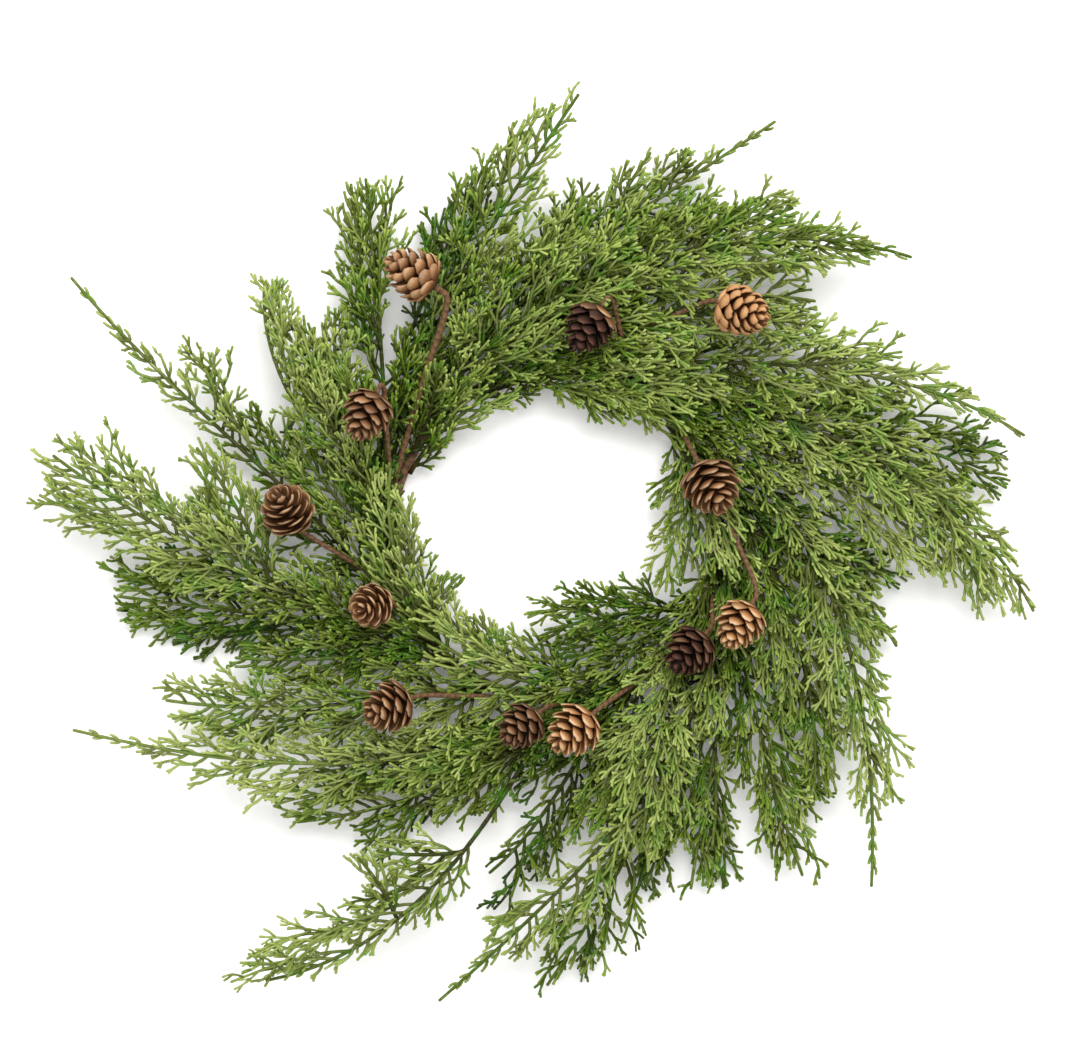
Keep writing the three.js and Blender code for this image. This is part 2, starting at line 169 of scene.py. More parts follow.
# %% Materials in the making
class Finish:
    """A material in the making. add() puts in a node of any type."""

    def __init__(self, name):
        self.material = bpy.data.materials.new(name)
        self.material.use_nodes = True
        self.tree = self.material.node_tree
        self.surface = self.tree.nodes["Principled BSDF"]

    def plug(self, socket, value):
        if isinstance(value, Socket):
            self.tree.links.new(value.output, socket)
        else:
            socket.default_value = value

    def add(self, kind, settings=None, values=None, give=0):
        """A node of this type: its settings first, then its sockets by name or number."""
        node = self.tree.nodes.new("ShaderNode" + kind)
        for name, setting in (settings or {}).items():
            if name == "stops":
                ramp = node.color_ramp
                while len(ramp.elements) < len(setting):
                    ramp.elements.new(0.5)
                for stop, (place, colour) in zip(ramp.elements, setting):
                    stop.position, stop.color = place, colour
            else:
                setattr(node, name, setting)
        for where, value in (values or {}).items():
            self.plug(node.inputs[where], value)
        return Socket(self, node.outputs[give])

    def reads(self, name):
        """A value that the mesh holds at each corner."""
        return self.add("Attribute", {"attribute_name": name}, give="Fac")

    def blend(self, first, second, share):
        """Two colours mixed; share is how much of the second."""
        return self.add("Mix", {"data_type": "RGBA"}, {0: share, 6: first, 7: second}, give=2)

    def place(self):
        """Where on the piece a point is, in metres."""
        return self.add("TexCoord", give="Object")

    def noise(self, size, detail=2.0):
        """Soft random blotches about this many metres across."""
        return self.add("TexNoise", {}, {
            "Vector": self.place(), "Scale": 1 / size, "Detail": detail}, give="Fac")

    def bump(self, strength, depth, height):
        """Small relief that only the light sees, this many metres deep."""
        return self.add("Bump", {}, {"Strength": strength, "Distance": depth, "Height": height})

    def wear(self, **sockets):
        """Sets or links the surface's own sockets, with underscores for spaces."""
        for name, value in sockets.items():
            self.plug(self.surface.inputs[name.replace("_", " ")], value)


# %% [markdown]
# ## The table
# The ring lies on a white cloth. It is only a stage, so it is one wide sheet with an even, matt
# finish and a weave so fine that it hardly shows. White cloth throws light about under the
# leaves. More bounces of light would show it, at a price in time. A faint glow does nearly the
# same for nothing.

# %% Table cloth
TABLE_SIDE = 6.0
THREAD = 0.9 * MM
CLOTH_GLOW = 0.08
cloth = Finish("white_table_cloth")
cloth.wear(
    Base_Color=(0.93, 0.925, 0.92, 1), Roughness=0.92,
    Emission_Color=(1.0, 0.985, 0.97, 1), Emission_Strength=CLOTH_GLOW,
    Normal=cloth.bump(0.15, 0.1 * MM, cloth.noise(THREAD, 1.0)))
half = TABLE_SIDE / 2
table_mesh = bpy.data.meshes.new("table_cloth")
table_mesh.from_pydata([(-half, -half, 0), (half, -half, 0), (half, half, 0), (-half, half, 0)],
                       [], [(0, 1, 2, 3)])
table_mesh.materials.append(cloth.material)
table = placed("table_cloth", table_mesh)
print("table of", TABLE_SIDE, "m square")

# %% [markdown]
# ## Reading the solids
# A spray's solid is a square stem whose side faces are drawn out into points. A walk over its
# edges from the square root end passes one ring of four corners after another, and a point is
# where it can go no further. So the walk gives the stem's middle line and each side branch. The
# sums that made the solids could be repeated here, but both would have to be kept the same.

# %% Corners and edges of a solid
WELD = 2e-6


def solid(node):
    """The solid's corners, each once, its triangles, and for each corner those beside it."""
    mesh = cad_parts[node].data
    places = np.array([vertex.co for vertex in mesh.vertices])
    mesh.calc_loop_triangles()
    corners = np.array([tuple(triangle.vertices) for triangle in mesh.loop_triangles])
    _, first, same = np.unique(np.round(places / WELD).astype(int), axis=0,
                               return_index=True, return_inverse=True)
    triangles = same.reshape(-1)[corners]
    beside = [set() for _ in first]
    for a, b, c in triangles:
        beside[a] |= {b, c}
        beside[b] |= {a, c}
        beside[c] |= {a, b}
    return places[first], triangles, beside


def steps_from(start, beside):
    """How many edges each corner is from the start corners."""
    steps, edge, step = np.full(len(beside), -1), set(start), 0
    while edge:
        steps[list(edge)] = step
        edge = {other for corner in edge for other in beside[corner] if steps[other] < 0}
        step += 1
    return steps


print("the hoop's solid has", len(solid("hoop")[0]), "corners")

# %% Middle and radius of the hoop
hoop_low, hoop_high = (np.array(corner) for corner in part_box("hoop"))
HOOP_MIDDLE = (hoop_low + hoop_high) / 2
HOOP_WIRE = (hoop_high[2] - hoop_low[2]) / 2
HOOP_RADIUS = (hoop_high[0] - hoop_low[0]) / 2 - HOOP_WIRE
print("hoop radius", round(HOOP_RADIUS / MM, 1), "mm, thickness", round(2 * HOOP_WIRE / MM, 1))

# %% Stem line and side branches of a spray
CAP_EDGE = 3.4 * MM


def read_spray(node):
    """The stem's middle line, root first, and each side branch as (ring, point)."""
    corners, triangles, beside = solid(node)
    edges = np.linalg.norm(corners[triangles] - corners[np.roll(triangles, 1, axis=1)], axis=2)
    small = triangles[edges.max(axis=1) < CAP_EDGE]
    x, y, z = (corners[small].mean(axis=1) - HOOP_MIDDLE).T
    cap = small[np.argsort(np.hypot(np.hypot(x, y) - HOOP_RADIUS, z))[:2]]
    steps = steps_from(cap.ravel(), beside)
    points = [c for c in range(len(corners)) if steps[c] > 0 and not any(
        steps[other] > steps[c] for other in beside[c])]
    end = max(points, key=lambda c: steps[c])
    branches = sorted((steps[c] - 0.5, c) for c in points if c != end)
    last = steps[end]
    steps[points] = -1
    line = [corners[steps == step].mean(axis=0) for step in range(last)] + [corners[end]]
    return np.array(line), [(ring, corners[c]) for ring, c in branches]


stems = {node: read_spray(node) for node in sorted(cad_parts) if node.startswith("cedar")}
print(len(stems), "sprays with", sum(len(b) for _, b in stems.values()), "side branches")

# %% Axis of a cone
def unit(vectors):
    """Each vector, brought to a length of 1."""
    return vectors / np.maximum(np.linalg.norm(vectors, axis=-1, keepdims=True), 1e-12)


def read_cone(node):
    """The middle of the cone's foot, its axis, its length and its radius."""
    corners, _, beside = solid(node)
    poles = sorted(range(len(corners)), key=lambda c: -len(beside[c]))[:2]
    wide = [np.linalg.norm(corners[list(beside[pole])] - corners[pole], axis=1).mean()
            for pole in poles]
    foot, tip = (corners[p] for p in (poles if wide[0] > wide[1] else poles[::-1]))
    axis = unit(tip - foot)
    return foot, axis, np.linalg.norm(tip - foot), np.linalg.norm(
        np.cross(corners - foot, axis), axis=1).max()


cones = {int(node[-2:]): read_cone(node)
         for node in sorted(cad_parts) if node.startswith("larch")}
print("cones are", sorted(round(2 * cone[3] / MM) for cone in cones.values()), "mm wide")

# %% Line of a cone's pick
PICK_CORNERS = 5


def read_pick(node, foot):
    """The pick's middle line, from the cone's foot back to the hoop."""
    corners, _, beside = solid(node)
    nearest = np.argsort(np.linalg.norm(corners - foot, axis=1))[:PICK_CORNERS]
    steps = steps_from(nearest, beside)
    return np.array([corners[steps == step].mean(axis=0) for step in range(steps.max() + 1)])


picks = {number: read_pick(f"cone_pick_{number:02}", cone[0]) for number, cone in cones.items()}
print(len(picks), "picks")

# %% [markdown]
# ## Shoots
# Everything green on the ring is a thin shoot, and there are about 22,000. A curve object with a
# bevel would draw each one, but slowly and with little say over the ends. So one function wraps
# rings of corners round many lines at once with numpy, and closes both ends.

# %% Lines and curves
def smooth(line, pieces):
    """A Catmull-Rom curve through the line's points, each step cut into this many."""
    ends = np.vstack([2 * line[:1] - line[1:2], line, 2 * line[-1:] - line[-2:-1]])
    a, b, c, d = (ends[i:len(ends) - 3 + i, None] for i in range(4))
    t = np.arange(pieces)[None, :, None] / pieces
    curve = b + t * (c - a) / 2 + t**2 * (a - 2.5 * b + 2 * c - d / 2) + (
        t**3 * (d - a + 3 * (b - c)) / 2)
    return np.vstack([curve.reshape(-1, 3), line[-1:]])


def travelled(line):
    """How far along the line each of its points is."""
    return np.concatenate([[0], np.cumsum(np.linalg.norm(np.diff(line, axis=0), axis=1))])


def along(line, distances):
    """The places that are these distances along the line."""
    gone = travelled(line)
    return np.stack([np.interp(distances, gone, line[:, axis]) for axis in range(3)], axis=-1)


def turned(first, second, angle):
    """The ways at these angles from the first way towards the second."""
    return first * np.cos(angle)[..., None] + second * np.sin(angle)[..., None]


def bows(start, bend, end, rings):
    """Many curves at once, each from start to end with its middle drawn towards bend."""
    t = np.linspace(0, 1, rings)[None, :, None]
    return (1 - t)**2 * start[:, None] + 2 * t * (1 - t) * bend[:, None] + t**2 * end[:, None]


print("the longest stem is", round(max(travelled(s)[-1] for s, _ in stems.values()) / MM), "mm")

# %% Tubes round many lines
TIP_REACH = 0.75


def walls(rings, sides, closed=False):
    """The faces between the rings of a tube, and from last to first if it is closed."""
    at = np.arange(rings * sides).reshape(rings, sides)
    above = np.roll(at, -1, axis=0)
    faces = np.stack([at, np.roll(at, -1, axis=1), np.roll(above, -1, axis=1), above], axis=-1)
    return faces[:rings - (not closed)].reshape(-1, 4)


def tubes(lines, radii, tops, sides, flat=1.0):
    """Closed tubes that each end in a tip. tops says which way is up for each line."""
    count, rings, _ = lines.shape
    ahead = unit(np.gradient(lines, axis=1))
    across = unit(np.cross(tops[:, None], ahead))
    up = np.cross(ahead, across) * flat
    turn = np.arange(sides) * 2 * math.pi / sides
    rims = lines[:, :, None] + radii[:, :, None, None] * turned(
        across[:, :, None], up[:, :, None], turn)
    ends = lines[:, -1:] + ahead[:, -1:] * radii[:, -1:, None] * TIP_REACH
    corners = np.concatenate([rims.reshape(count, -1, 3), ends], axis=1)
    side = np.arange(sides)
    rim = side + (rings - 1) * sides
    lid = np.stack([rim, np.roll(rim, -1), np.full(sides, rings * sides)], axis=-1)
    first = (np.arange(count) * (rings * sides + 1))[:, None, None]
    return corners.reshape(-1, 3), [(first + part[None]).reshape(-1, part.shape[1])
                                    for part in (walls(rings, sides), lid, side[None, ::-1])]


def per_corner(values, sides):
    """A value for each ring, repeated for the ring's corners and the end point."""
    return np.concatenate([np.repeat(values, sides, axis=1), values[:, -1:]], axis=1).ravel()


# %% From corners and faces to a piece
class Clay:
    """The corners, faces and values of one piece, gathered a batch at a time."""

    def __init__(self):
        self.corners, self.faces, self.values, self.count = [], [], [], 0

    def put(self, corners, faces, **values):
        self.corners.append(corners)
        self.faces += [part + self.count for part in faces]
        self.values.append(values)
        self.count += len(corners)

    def fire(self, name, finish, node):
        """Makes the piece that stands for this solid, and counts its triangles."""
        mesh = bpy.data.meshes.new(name)
        mesh.vertices.add(self.count)
        mesh.vertices.foreach_set("co", np.concatenate(self.corners).ravel())
        sizes = np.concatenate([np.full(len(part), part.shape[1]) for part in self.faces])
        rounds = np.concatenate([part.ravel() for part in self.faces])
        mesh.loops.add(len(rounds))
        mesh.loops.foreach_set("vertex_index", rounds)
        mesh.polygons.add(len(sizes))
        mesh.polygons.foreach_set("loop_start", np.concatenate([[0], np.cumsum(sizes)[:-1]]))
        mesh.update(calc_edges=True)
        mesh.validate()
        mesh.shade_smooth()
        for value in self.values[0]:
            held = mesh.attributes.new(value, "FLOAT", "POINT")
            held.data.foreach_set("value", np.concatenate([v[value] for v in self.values]))
        mesh.materials.append(finish)
        piece = placed(name, mesh)
        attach(piece, "root")
        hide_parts(node)
        return int((sizes - 2).sum())

# %% [markdown]
# ## The colour of cedar
# A cedar frond is brown along its stem and brightest at its young tips. Each corner of the mesh
# holds how young it is, from 0 at the root to 1 at a tip, and how light its shoot is. That
# lightness is partly the shoot's own tone and partly painted light and shade, as high branches are
# made lighter and low ones darker. The finish turns the first into a ramp of greens, and the
# second pulls that towards pale yellow-green or dark olive, which is where the painted light and
# shade show. Blotches of moss green and dull brown keep fronds from looking alike, and young tips
# have pale flecks of painted highlight. The small overlapping leaves are a fine bump. A picture
# of leaves would repeat and stretch.

# %% Cedar finish
# Sizes of the blotches, of the flecks of painted highlight and of the leaves.
BLOTCH, HIGHLIGHT_FLECK, LEAF = 11 * MM, 2.2 * MM, 1.1 * MM
cedar = Finish("cedar_foliage")
young = cedar.reads("young")
light = cedar.reads("light")
greens = cedar.add("ValToRGB", ramp_of(
    (0.0, "#2b1c0c"), (0.22, "#232204"), (0.45, "#344206"), (0.72, "#536c0e"),
    (1.0, "#90a542")), {"Fac": young})
blotch = cedar.noise(BLOTCH)
highlight_fleck = cedar.noise(HIGHLIGHT_FLECK, 3.0)
# Light shoots are pulled to pale yellow-green and dark ones to dark olive: the shoot's own tone,
# with painted light on high branches and painted shade on low ones.
pale_tone_and_painted_light = cedar.blend(greens, paint("#b4c070"), ((light - 0.44) * 1.15 * young).held())
olive_tone_and_painted_shade = cedar.blend(pale_tone_and_painted_light, paint("#20330a"), ((0.5 - light) * 1.6).held())
mossy = cedar.blend(olive_tone_and_painted_shade, paint("#3f7a1a"), ((0.49 - blotch) * 2.4).held())
dull = cedar.blend(mossy, paint("#3d3a0c"), ((blotch - 0.52) * 2.2).held())
# Pale flecks on young tips: painted highlights.
with_painted_highlights = cedar.blend(dull, paint("#dfe6b4"), ((highlight_fleck - 0.55) * 1.7 * young).held())
leafy = cedar.add("TexVoronoi", {"feature": "F1"}, {
    "Vector": cedar.place(), "Scale": 1 / LEAF}, give="Distance")
cedar.wear(Base_Color=with_painted_highlights, Roughness=0.42 + 0.25 * highlight_fleck, Specular_IOR_Level=0.12,
           Normal=cedar.bump(0.5, 0.25 * MM, leafy))
print("cedar finish:", len(cedar.tree.nodes), "nodes")

# %% [markdown]
# ## Kinds of shoots
# A real frond is flat and grows by one rule at every scale: a shoot carries shorter shoots left
# and right, all leaning forward. So a spray is a stem with side branches on it, branchlets on
# those, and stubs on the longer branchlets. Flat leaf-shaped cards would be lighter, but they
# vanish from the side. A shoot's radius swells a little at every other ring, as leaf scales do,
# and all but the stems and forks are slightly flat.

# %% Kinds of shoots
Kind = namedtuple("Kind", "root tip bead sides flat")
STEM = Kind(1.15 * MM, 0.72 * MM, 0.05, 6, 1.0)
FORK = Kind(1.00 * MM, 0.72 * MM, 0.05, 6, 1.0)
BRANCH = Kind(0.80 * MM, 0.62 * MM, 0.10, 4, 0.85)
TWIG = Kind(0.64 * MM, 0.62 * MM, 0.12, 4, 0.85)
STUB = Kind(0.60 * MM, 0.60 * MM, 0.04, 4, 0.85)
FORK_RINGS, BRANCH_RINGS, TWIG_RINGS, STUB_RINGS = 18, 9, 5, 3


def ages(start, end, rings):
    """How young each ring of some shoots is, from start to end."""
    start, end = (np.atleast_1d(age)[:, None] for age in (start, end))
    return start + (end - start) * np.linspace(0, 1, rings)


def put_shoots(clay, kind, lines, tops, youth, tone):
    """Puts in tubes round these lines. youth is for each ring, and tone for each line."""
    count, rings = lines.shape[:2]
    radii = np.linspace(kind.root, kind.tip, rings) * (1 + kind.bead * (-1.0) ** np.arange(rings))
    corners, faces = tubes(lines, np.repeat(radii[None], count, axis=0), tops, kind.sides,
                           kind.flat)
    clay.put(corners, faces, young=per_corner(youth, kind.sides),
             light=per_corner(np.repeat(tone[:, None], rings, axis=1), kind.sides))


print("a stem is", 2 * STEM.root / MM, "mm thick at its root")

# %% [markdown]
# ## Side branches
# The solid has a side branch about every 17 mm on each side, and alone they would look like a
# comb. So lengths and directions are read from those, and new branches are set closer together.
# All start as buds: where each is, which way it goes and how long it is. One rule bends them all.

# %% Buds along a stem
Buds = namedtuple("Buds", "place way length hand share ahead")
FRAME_STEP = 2 * MM


def side_frame(line, distances):
    """At each distance: the place, and which way is ahead, aside and up."""
    place = along(line, distances)
    ahead = unit(along(line, distances + FRAME_STEP) - along(line, distances - FRAME_STEP))
    aside = unit(np.cross([0, 0, 1.0], ahead))
    return place, ahead, aside, np.cross(ahead, aside)


def room(gaps, share, hand):
    """How large branches at these shares of a stem may be, given its open stretches."""
    size = np.ones(len(share))
    for side, start, stop, left in gaps:
        size[(side * hand >= 0) & (share > start) & (share < stop)] = left
    return size


print("of each bud:", *Buds._fields)

# %% Closer branches on one side
BRANCH_PITCH = 7.4 * MM
BEFORE_FIRST, AFTER_LAST = 7 * MM, 9 * MM
BARE_ROOT, BARE_END = 2 * MM, 4 * MM
LEAN_SPREAD = [0.08, 0.16, 0.18]
FULL_SIDE, FULL_SHARE = 15 * MM, 0.35


def closer_branches(line, hand, where, lean, length, pitch, breadth, gaps):
    """Buds on one side of the stem, with the lean and length of the solid's own branches."""
    total = travelled(line)[-1]
    first, last = where.min() - BEFORE_FIRST, min(where.max() + AFTER_LAST, total - BARE_END)
    spots = np.arange(max(first, BARE_ROOT) + (hand + 1) * pitch / 4, last, pitch)
    spots = spots + chance.normal(0, 0.2, len(spots)) * pitch
    size = room(gaps, spots / total, hand)
    spots, size = spots[size > 0], size[size > 0]
    leans = np.stack([np.interp(spots, where, lean[:, i]) for i in range(3)], axis=1)
    leans += chance.normal(0, 1, leans.shape) * LEAN_SPREAD
    lengths = np.interp(spots, where, length)
    place, ahead, aside, up = side_frame(line, spots)
    way = unit(ahead * leans[:, :1] + aside * leans[:, 1:2] + up * leans[:, 2:])
    outward = (way[:, :2] * (place - HOOP_MIDDLE)[:, :2]).sum(axis=1) > 0
    filled = (spots < FULL_SHARE * total) & outward
    lengths = np.where(filled, np.maximum(lengths, FULL_SIDE), lengths)
    lengths *= size * breadth * chance.normal(1.06, 0.18, len(spots))
    return Buds(place, way, lengths, np.full(len(spots), hand), spots / total, ahead)


print("a side branch every", BRANCH_PITCH / MM, "mm")

# %% Both sides of a stem
STEM_CUTS = 3
FORK_LENGTH, FORK_BOW = 50 * MM, 0.08


def side_branches(line, branches, pitch, breadth, gaps):
    """The buds on both sides, and the solid's longest branches as forks."""
    rings = travelled(line)[::STEM_CUTS]
    where = np.interp([ring for ring, _ in branches], np.arange(len(rings)), rings)
    tips = np.array([tip for _, tip in branches])
    place, *ways = side_frame(line, where)
    away = tips - place
    length = np.linalg.norm(away, axis=1)
    lean = np.stack([(unit(away) * way).sum(axis=1) for way in ways], axis=1)
    side = np.sign(lean[:, 1])
    usual = length < FORK_LENGTH
    buds = []
    for hand in (-1.0, 1.0):
        mine = usual & (side == hand)
        buds.append(closer_branches(line, hand, where[mine], lean[mine], length[mine], pitch,
                                    breadth, gaps))
    # A fork starts at the left bud of its own number, which may be centimetres from the solid's.
    starts = buds[-1].place
    return buds, [(starts[i], tips[i], side[i] * FORK_BOW) for i in np.flatnonzero(~usual)]


print("branches over", FORK_LENGTH / MM, "mm are forks")

# %% [markdown]
# Crown branches rise along the top of the stem and hide it, and cover branches hide the hoop's
# tape. A fork is a small frond of its own, with a bowed line and side branches in turn.

# %% Crown, cover and fork branches
CROWN_PITCH, CROWN_REACH, CROWN_END = 9.0 * MM, 17 * MM, 0.72
COVERS, COVER_REACH, COVER_LIFT = 2, 27 * MM, 0.5 * MM
FORK_WIDEST = 20 * MM


def crown_branches(line, pitch, gaps):
    """Buds that rise along the top of the stem and lean forward over it."""
    total = travelled(line)[-1]
    spots = np.arange(3 * MM, total * CROWN_END, pitch)
    spots = spots + chance.normal(0, 0.15, len(spots)) * pitch
    spots = spots[room(gaps, spots / total, 0) > 0.5]
    place, ahead, aside, up = side_frame(line, spots)
    in_turn = (-1.0) ** np.arange(len(spots))[:, None]
    sway = chance.normal(0, 0.34, (len(spots), 1)) + 0.22 * in_turn
    way = unit(ahead * 0.86 + aside * sway + up * chance.uniform(0.16, 0.42, (len(spots), 1)))
    lengths = CROWN_REACH * (1.05 - 0.5 * spots / total) * chance.normal(1, 0.15, len(spots))
    return Buds(place, way, lengths, np.sign(sway[:, 0]), spots / total, ahead)


def cover_branches(root):
    """Buds at the root that run along the hoop and hide its tape."""
    away = unit((root - HOOP_MIDDLE) * [1, 1, 0])
    round_hoop = np.array([away[1], -away[0], 0])
    spread = np.linspace(-1, 1, COVERS)[:, None]
    way = unit(round_hoop + away * (0.28 * spread + chance.normal(0, 0.08, (COVERS, 1)))
               + [0, 0, 1] * chance.uniform(0.2, 0.45, (COVERS, 1)))
    lengths = COVER_REACH * chance.normal(1, 0.12, COVERS)
    return Buds(np.repeat((root + [0, 0, COVER_LIFT])[None], COVERS, axis=0), way, lengths,
                np.where(spread[:, 0] > 0, 1.0, -1.0), np.full(COVERS, 0.1),
                np.repeat(round_hoop[None], COVERS, axis=0))


def fork_branches(start, end, bow, pitch):
    """The fork's own line, and the buds on it."""
    off = end - start
    size = np.linalg.norm(off)
    bend = start + off * 0.5 + np.cross([0, 0, 1.0], off) * bow
    line = bows(start[None], bend[None], end[None], FORK_RINGS)[0]
    spots = np.arange(0.12, 0.97, pitch * 0.5 / size)
    place, ahead, aside, up = side_frame(line, spots * size)
    hand = np.where(np.arange(len(spots)) % 2, 1.0, -1.0)
    way = unit(ahead * 0.8 + aside * hand[:, None] * 0.6
               + up * chance.normal(0.05, 0.12, (len(spots), 1)))
    widest = min(FORK_WIDEST, 0.34 * size)
    lengths = (widest * (1 - 0.55 * spots) + 3 * MM) * chance.normal(1, 0.16, len(spots))
    return line, Buds(place, way, lengths, hand, 0.4 + 0.6 * spots, ahead)


print("cover branches:", COVER_REACH / MM, "mm, widest fork:", 2 * FORK_WIDEST / MM, "mm")

# %% [markdown]
# ## Off the cones and the table
# The cones lie on top of the greenery, so no leaf may go through one. A branch is cut short where
# it would reach a cone, and a branchlet or stub that touches one is left out. A search of true
# meshes would be exact, but a round space for each cone is far quicker. It is narrower for a few
# cones, as on the real ring some leaves lie over a cone's edge.

# %% Space for the cones
TABLE_GAP = 0.95 * MM
CONE_SPACE = {number: (foot + axis * length * 0.5, 0.5 * max(length, 2 * radius))
              for number, (foot, axis, length, radius) in cones.items()}
# The share of a cone's width that is kept free where leaves lie over its edge.
OVERHUNG = {4: 0.75, 6: 0.7, 8: 0.85, 12: 0.9}


def blocked(lines):
    """For each line, which of its points are in a cone or right above one."""
    out = np.zeros(lines.shape[:2], bool)
    for number, (middle, reach) in CONE_SPACE.items():
        away = lines - middle
        plan = np.hypot(away[..., 0], away[..., 1])
        out |= (plan < reach * OVERHUNG.get(number, 1.0)) & (away[..., 2] > -reach * 0.35)
    return out


def off_table(lines):
    """The lines, lifted where they would go into the table."""
    return np.maximum(lines, [-math.inf, -math.inf, TABLE_GAP])


print("shoots stay", TABLE_GAP / MM, "mm off the table")

# %% [markdown]
# ## What makes each spray its own
# By rules alone, all the sprays would be alike. The tables below say how each differs: which
# stretches of stem are open, which tips stay broad, and where small extra fronds grow. Chance
# could pick these, but then no spray could be made to look like a certain real one.

# %% Roots, stems, tips and open stretches
# Sprays whose root leaves the hoop's tape to be seen, and sprays with a green stem.
BARE_HOOP = {8, 9, 10, 23, 25, 28, 32}
PALE_STEMS = {1, 26, 30, 31}
# How much of their length the last branches keep, on sprays with broad tips and on the rest.
BROAD_TIPS = {2: 0.7, 9: 0.5, 16: 0.6, 18: 0.6, 21: 0.7, 22: 0.7, 26: 0.7, 27: 0.7}
PLAIN_TIP = 0.35
# On which hand (1 left, -1 right, 0 both), from and to which share of the stem, and how long the
# branches there are beside the usual.
OPEN_SIDES = {
    3: [(1, 0.3, 0.7, 0.4), (-1, 0.62, 0.95, 0.6)],
    4: [(1, 0.65, 1, 0.75)],
    6: [(1, 0.1, 1, 0.15)],
    8: [(-1, 0.42, 0.62, 0), (1, 0.5, 1, 0.85)],
    9: [(1, 0.6, 0.95, 0.85), (-1, 0.6, 0.95, 0.6)],
    10: [(1, 0.25, 0.6, 0), (1, 0.6, 1, 0.85)],
    12: [(-1, 0.7, 1, 0.4), (1, 0.45, 0.7, 0.75)],
    13: [(1, 0.62, 1, 0.5), (-1, 0.6, 0.95, 0.38)],
    15: [(-1, 0.6, 0.95, 0.55)],
    16: [(1, 0.5, 1, 0.6)],
    17: [(1, 0.5, 0.75, 0.7)],
    19: [(1, 0.6, 1, 0.4)],
    21: [(-1, 0.6, 0.95, 0.45)],
    22: [(-1, 0.55, 1, 0.6)],
    23: [(0, 0.36, 0.62, 0.4), (-1, 0.75, 0.95, 0.35)],
    24: [(-1, 0.5, 0.8, 0.75)],
    25: [(-1, 0.5, 0.72, 0.4)],
    27: [(1, 0.6, 1, 0.8), (-1, 0.45, 0.88, 0.35), (-1, 0.88, 1, 0.6)],
    28: [(0, 0.04, 0.38, 0), (1, 0.55, 1, 0.55), (-1, 0.88, 1, 0.6)],
    29: [(1, 0.75, 1, 0.6)],
    31: [(-1, 0.45, 1, 0.45)],
    32: [(-1, 0, 0.4, 0.7)],
    34: [(-1, 0.6, 1, 0.3)],
    35: [(-1, 0.85, 1, 0.5)]}
print(sum(len(gaps) for gaps in OPEN_SIDES.values()), "open stretches")

# %% Extra fronds
# Where along the spray a frond starts, then where it ends, as distance from the hoop's middle in
# mm, degrees round it and height in mm, and how far it bows.
EXTRA_FRONDS = {
    2: [(0.25, 143, 220, 17, 0.04), (0.0, 111, 234, 21, 0.05)],
    3: [(0.12, 116, 187.5, 12, -0.05)],
    4: [(0.12, 155, 201, 12, 0.06), (0.0, 104, 215, 15, 0.05), (0.15, 119, 185.5, 15, 0.06)],
    5: [(0.45, 164, 174, 23, -0.04)],
    6: [(0.1, 126, 160, 15, 0.05)],
    7: [(0.55, 140, 135, 20, 0.05), (0.45, 148, 140.5, 18, 0.04)],
    8: [(0.5, 183, 120.2, 17, 0.04)],
    11: [(0.12, 92, 124, 30, 0.0)],
    12: [(0.25, 97, 118.5, 30, 0.03), (0.3, 153, 85, 20, -0.08), (0.55, 177, 76, 21, 0.05)],
    13: [(0.5, 181, 54, 25, 0.05), (0.62, 190, 41.5, 25, 0.06), (0.2, 108, 56, 31, 0.05)],
    14: [(0.5, 152, 38, 20, 0.05)],
    15: [(0.0, 96, 62, 34, -0.1), (0.5, 164, 28.5, 21, 0.05)],
    16: [(0.72, 196, 351.4, 17, -0.04)],
    19: [(0.5, 149, 350.5, 15, 0.05)],
    20: [(0.7, 180, 323.5, 22, 0.0)],
    21: [(0.5, 166, 316, 13, 0.05), (0.15, 121, 325, 19, 0.04)],
    22: [(0.0, 70, 318, 20, 0.12), (0.6, 179, 305, 14, 0.05)],
    23: [(0.6, 159, 296.5, 10, 0.05)],
    26: [(0.0, 76, 298, 20, 0.1), (0.3, 130, 276.5, 16, -0.05)],
    27: [(0.1, 120, 278, 13, 0.05), (0.0, 96, 290, 11, 0.05)],
    28: [(0.42, 163, 240.5, 21, 0.08)],
    29: [(0.2, 158, 223, 15, 0.05), (0.35, 129, 227, 19, 0.04), (0.3, 137, 248, 12, 0.05)],
    30: [(0.3, 48, 252, 12, -0.1), (0.6, 50, 227, 14, -0.1), (0.45, 91, 245, 16, 0.1)],
    31: [(0.2, 84, 186, 22, 0.1), (0.05, 46, 203, 16, 0.3)],
    33: [(0.25, 84, 44, 24, 0.14), (0.5, 100, 40, 26, 0.1), (0.45, 63, 60, 13, -0.1)],
    34: [(0.3, 83, 347, 24, 0.12), (0.25, 47, 17, 12, -0.1)],
    35: [(0.0, 62, 284, 17, 0.16), (0.1, 52, 268, 12, 0.12), (0.35, 34, 317, 16, 0.15),
         (0.6, 31, 290, 14, 0.08)]}
print(sum(len(fronds) for fronds in EXTRA_FRONDS.values()), "extra fronds")

# %% [markdown]
# ## Bending the branches
# A cedar branch leaves the stem at a wide angle and sweeps forward, more so near the spray's tip.
# So each is a bow, out to the side and then ahead. Straight branches would be simpler, but they
# look like a comb's teeth.

# %% Stem, forks and all the buds
UP = np.array([[0, 0, 1.0]])
BROWN_ROOT, GREEN_ROOT, FORK_ROOT, STEM_END = 0.02, 0.45, 0.2, 0.6


